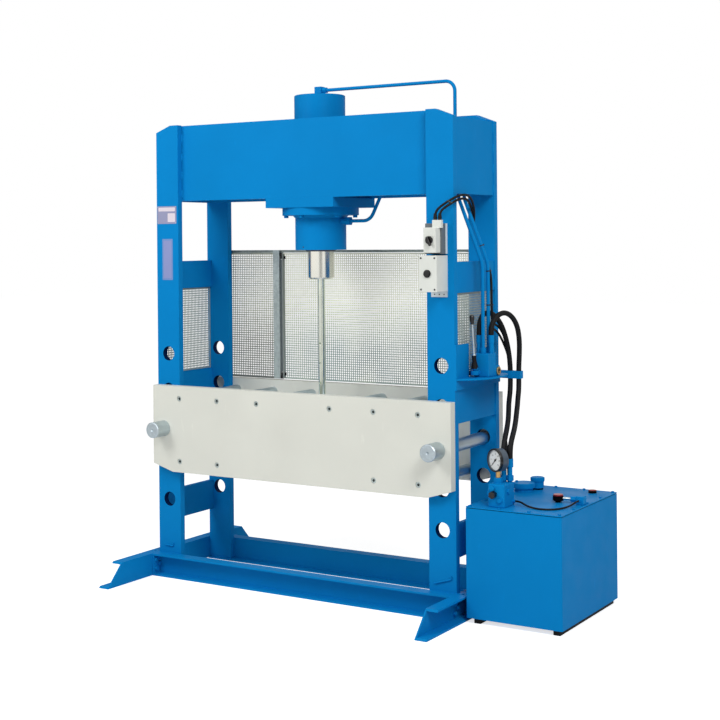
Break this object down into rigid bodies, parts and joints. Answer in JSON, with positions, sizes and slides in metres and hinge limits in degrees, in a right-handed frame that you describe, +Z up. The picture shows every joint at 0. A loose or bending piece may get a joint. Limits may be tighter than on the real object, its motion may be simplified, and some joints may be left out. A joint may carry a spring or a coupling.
{
  "type": "hydraulic press",
  "caption": "Portal-frame hydraulic workshop press with pinned height-adjustable table, guarded columns, hand valve and a free-standing hydraulic power unit.",
  "frame": {"origin": "on the floor, at the centre of the footprint of press and power unit together", "axes": "+X to the right along the beam, towards the power unit; +Y from the front (operator side) to the rear guard; +Z up. The ram axis stands at X -0.2525, Y +0.0165"},
  "size_m": [2.485, 1.297, 2.65],
  "materials": {
    "blue_paint": "semi-gloss blue paint",
    "cream_paint": "satin cream paint",
    "galvanised": "zinc coated perforated sheet",
    "zinc_steel": "zinc plated or bright machined steel",
    "black_steel": "black oxide steel",
    "chrome_rod": "hard chrome, polished",
    "cast_iron": "as machined",
    "bronze": "machined bronze",
    "black_rubber": "matte black rubber",
    "black_plastic": "black plastic",
    "grey_plastic": "light grey enclosure plastic",
    "dark_grey": "dark grey folded base"
  },
  "bodies": {
    "frame": {"base_bolts": "zinc_steel", "base_sills": "blue_paint", "beam_plates": "blue_paint", "breather": "blue_paint", "cable_glands": "black_plastic", "column_webs": "blue_paint", "control_box": "grey_plastic", "control_cable": "black_rubber", "cylinder_barrel": "blue_paint", "cylinder_head": "bronze", "cylinder_mount": "blue_paint", "fixed_guard": "galvanised", "flange_bolts": "black_steel", "front_left_upright": "blue_paint", "front_right_upright": "blue_paint", "gauge_case": "black_plastic", "gear_pump": "zinc_steel", "guard_frame": "galvanised", "hose_fittings": "blue_paint", "left_foot": "blue_paint", "lid_bolts": "zinc_steel", "lower_pipe": "blue_paint", "manifold": "blue_paint", "motor_cable": "black_rubber", "oil_motor": "cast_iron", "pilot_hose": "black_rubber", "pressure_hose": "black_rubber", "rear_left_upright": "blue_paint", "rear_right_upright": "blue_paint", "relief_valve": "blue_paint", "return_filter": "blue_paint", "return_hose": "black_rubber", "right_foot": "blue_paint", "side_guards": "galvanised", "switch_base": "dark_grey", "switch_box": "grey_plastic", "table_front_plate": "cream_paint", "table_rear_plate": "cream_paint", "table_screws": "black_steel", "table_spacers": "zinc_steel", "tank": "blue_paint", "tank_lid": "blue_paint", "tank_runners": "black_rubber", "upper_pipe": "blue_paint", "valve_body": "blue_paint", "valve_bracket": "blue_paint"},
    "ram_body": {"ram": "chrome_rod", "piston_seal": "black_rubber", "lifting_rod": "zinc_steel"},
    "left_pin": {"left_table_pin": "zinc_steel"},
    "right_pin": {"right_table_pin": "zinc_steel"},
    "guard_door_body": {"guard_door": "galvanised"},
    "lever": {"valve_lever": "zinc_steel", "lever_knob": "black_plastic", "lever_boot": "black_rubber"},
    "switch": {"switch_knob": "black_plastic"},
    "button": {"push_button": "black_plastic"},
    "needle": {"gauge_needle": "black_steel"},
    "setter": {"pressure_setter": "black_plastic"},
    "cap": {"relief_cap": "black_plastic"}
  },
  "joints": [
    {"name": "ram_slide", "type": "slide", "parent": "frame", "child": "ram_body", "axis": [0, 0, -1], "range_m": [-0.15, 0.2]},
    {"name": "left_pin_slide", "type": "slide", "parent": "frame", "child": "left_pin", "axis": [0, -1, 0], "range_m": [0, 0.6]},
    {"name": "right_pin_slide", "type": "slide", "parent": "frame", "child": "right_pin", "axis": [0, -1, 0], "range_m": [0, 0.6]},
    {"name": "guard_door_hinge", "type": "hinge", "parent": "frame", "child": "guard_door_body", "pos_m": [-0.6865, 0.2715, 1.052], "axis": [0, 0, 1], "range_deg": [0, 110]},
    {"name": "lever_tilt", "type": "hinge", "parent": "frame", "child": "lever", "pos_m": [0.7175, -0.1015, 1.2], "axis": [1, 0, 0], "range_deg": [-12, 12], "stiffness_Nm_per_rad": 5},
    {"name": "switch_turn", "type": "hinge", "parent": "frame", "child": "switch", "pos_m": [0.598, -0.3335, 1.829], "axis": [0, 1, 0], "range_deg": [0, 90]},
    {"name": "button_press", "type": "slide", "parent": "frame", "child": "button", "axis": [0, 1, 0], "range_m": [0, 0.004], "stiffness_N_per_m": 800},
    {"name": "needle_turn", "type": "hinge", "parent": "frame", "child": "needle", "pos_m": [0.876, -0.1755, 0.774], "axis": [0.454, 0.891, 0], "range_deg": [0, 270], "stiffness_Nm_per_rad": 0.005},
    {"name": "pressure_set", "type": "hinge", "parent": "frame", "child": "setter", "pos_m": [0.8775, -0.2285, 0.617], "axis": [0, 1, 0], "range_deg": [-360, 360]},
    {"name": "cap_turn", "type": "hinge", "parent": "frame", "child": "cap", "pos_m": [1.0915, 0.0385, 0.588], "axis": [0, 0, 1], "range_deg": [-360, 360]}
  ]
}
